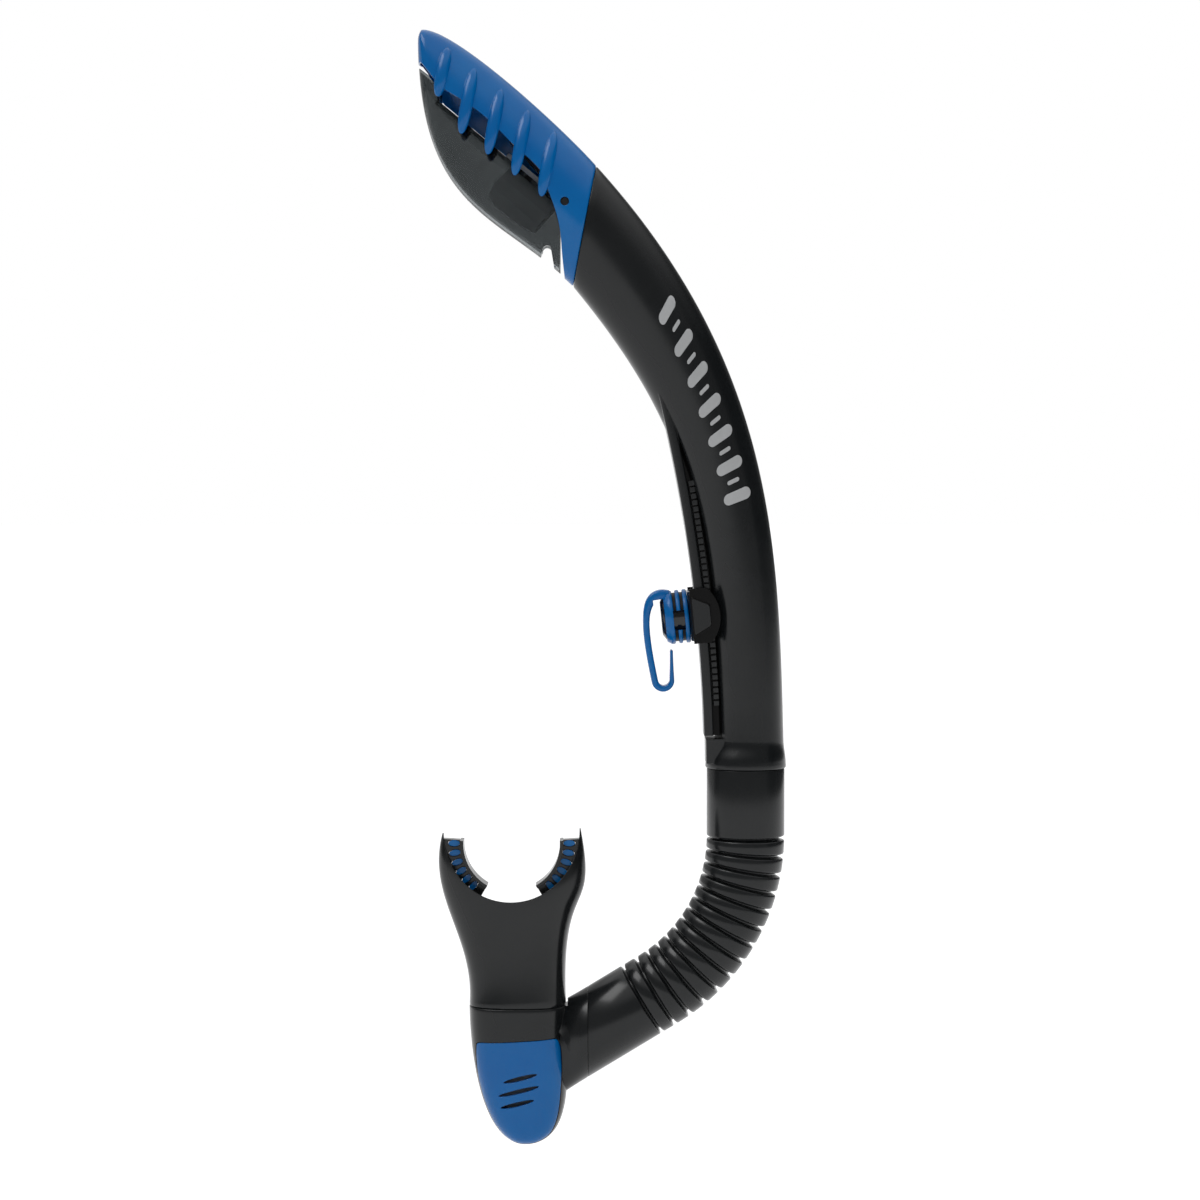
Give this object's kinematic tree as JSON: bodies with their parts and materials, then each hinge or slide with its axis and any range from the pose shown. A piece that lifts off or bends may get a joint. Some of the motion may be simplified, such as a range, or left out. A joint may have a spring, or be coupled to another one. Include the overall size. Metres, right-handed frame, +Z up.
{
  "type": "dry-top snorkel",
  "caption": "Curved breathing tube with a float-operated dry top, sliding strap keeper, corrugated flexible hose, purge chamber and soft bite mouthpiece.",
  "frame": {"origin": "centre of the strap hook's loop, in the snorkel's plane of symmetry", "axes": "+Z up along the barrel, +X from the mouthpiece side towards the barrel, +Y through the thickness, away from the side that carries the purge cover"},
  "size_m": [0.1418, 0.0328, 0.4291],
  "materials": {
    "barrel_plastic": "satin injection-moulded black",
    "keeper_plastic": "gloss black",
    "blue_plastic": "gloss blue",
    "hose_silicone": "gloss black silicone",
    "mouth_silicone": "satin black silicone",
    "inner_plastic": "matt black",
    "smoke_plastic": "smoke-grey clear plastic",
    "valve_silicone": "translucent grey silicone",
    "pin_steel": "stainless pin"
  },
  "bodies": {
    "barrel": {"barrel_tube": "barrel_plastic", "hose_coupling": "inner_plastic", "flex_hose": "hose_silicone", "valve_collar": "inner_plastic", "top_guard": "blue_plastic", "float_pin": "pin_steel"},
    "keeper": {"keeper_slider": "keeper_plastic", "swivel_post": "keeper_plastic"},
    "hook": {"strap_hook": "blue_plastic"},
    "float": {"float_body": "smoke_plastic", "float_lid": "smoke_plastic", "float_core": "inner_plastic", "seal_flap": "valve_silicone", "flap_retainer": "blue_plastic"},
    "mouth_end": {"junction_body": "keeper_plastic", "mouthpiece": "mouth_silicone", "bite_core_left": "blue_plastic", "bite_core_right": "blue_plastic", "purge_seat": "inner_plastic", "purge_cover": "blue_plastic", "purge_housing": "smoke_plastic"},
    "purge": {"purge_valve": "valve_silicone"}
  },
  "joints": [
    {"name": "keeper_travel", "type": "hinge", "parent": "barrel", "child": "keeper", "pos_m": [-0.5952, 0, -0.0486], "axis": [0, -1, 0], "range_deg": [-2.6, 4.1]},
    {"name": "hook_swivel", "type": "hinge", "parent": "keeper", "child": "hook", "pos_m": [0.01424, 0, 0.01357], "axis": [0.9948, 0, 0.1015], "continuous": true},
    {"name": "float_hinge", "type": "hinge", "parent": "barrel", "child": "float", "pos_m": [-0.0362, 0, 0.1714], "axis": [0, 1, 0], "range_deg": [0, 7]},
    {"name": "hose_bend", "type": "hinge", "parent": "barrel", "child": "mouth_end", "pos_m": [0.02221, 0, -0.10992], "axis": [0, -1, 0], "range_deg": [-15, 45], "stiffness_Nm_per_rad": 1, "deforming": ["flex_hose"]},
    {"name": "purge_lift", "type": "slide", "parent": "mouth_end", "child": "purge", "axis": [0, -1, 0], "range_m": [0, 0.0012], "stiffness_N_per_m": 100}
  ]
}
